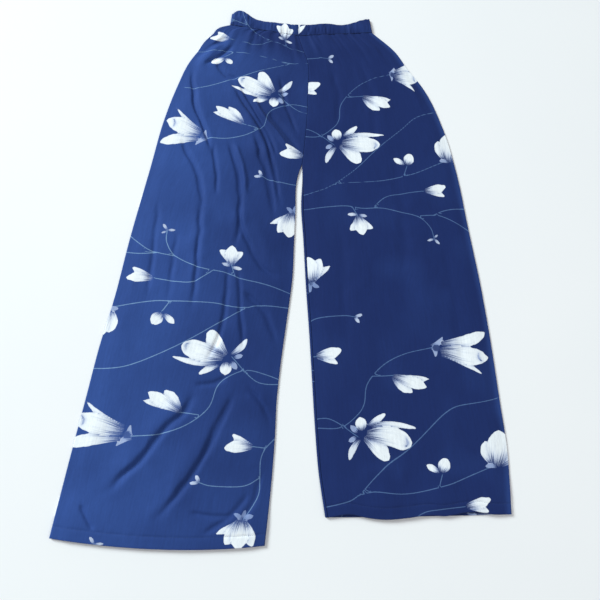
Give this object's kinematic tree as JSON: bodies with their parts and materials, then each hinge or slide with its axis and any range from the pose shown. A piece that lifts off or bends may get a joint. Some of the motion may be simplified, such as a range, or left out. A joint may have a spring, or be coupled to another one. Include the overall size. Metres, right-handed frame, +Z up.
{
  "type": "palazzo pants",
  "caption": "Wide-legged pull-on trousers with a gathered elastic waistband and turned-up hems, laid flat with the front up.",
  "frame": {"origin": "middle of the flat outline, on the surface the trousers lie on", "axes": "+Y along the legs towards the waist, +Z up out of the front, +X towards the wearer's left leg"},
  "size_m": [0.7678, 0.9971, 0.0101],
  "materials": {
    "printed_cloth_right": "light plain-woven crepe, mid navy with white magnolias on thin pale blue branches",
    "printed_cloth_left": "the same printed crepe cut the other way up, so it reads darker",
    "waistband_cloth": "the same printed crepe gathered over elastic",
    "cloth_wrong_side": "wrong side of the printed crepe, matt and paler"
  },
  "bodies": {
    "root": {"front_leg_right": "printed_cloth_right", "front_leg_left": "printed_cloth_left", "back_leg_right": "printed_cloth_right", "back_leg_left": "printed_cloth_left", "hem_front_right": "cloth_wrong_side", "hem_front_left": "cloth_wrong_side", "hem_back_right": "cloth_wrong_side", "hem_back_left": "cloth_wrong_side", "waistband_front": "waistband_cloth", "waistband_back": "waistband_cloth"}
  },
  "joints": []
}
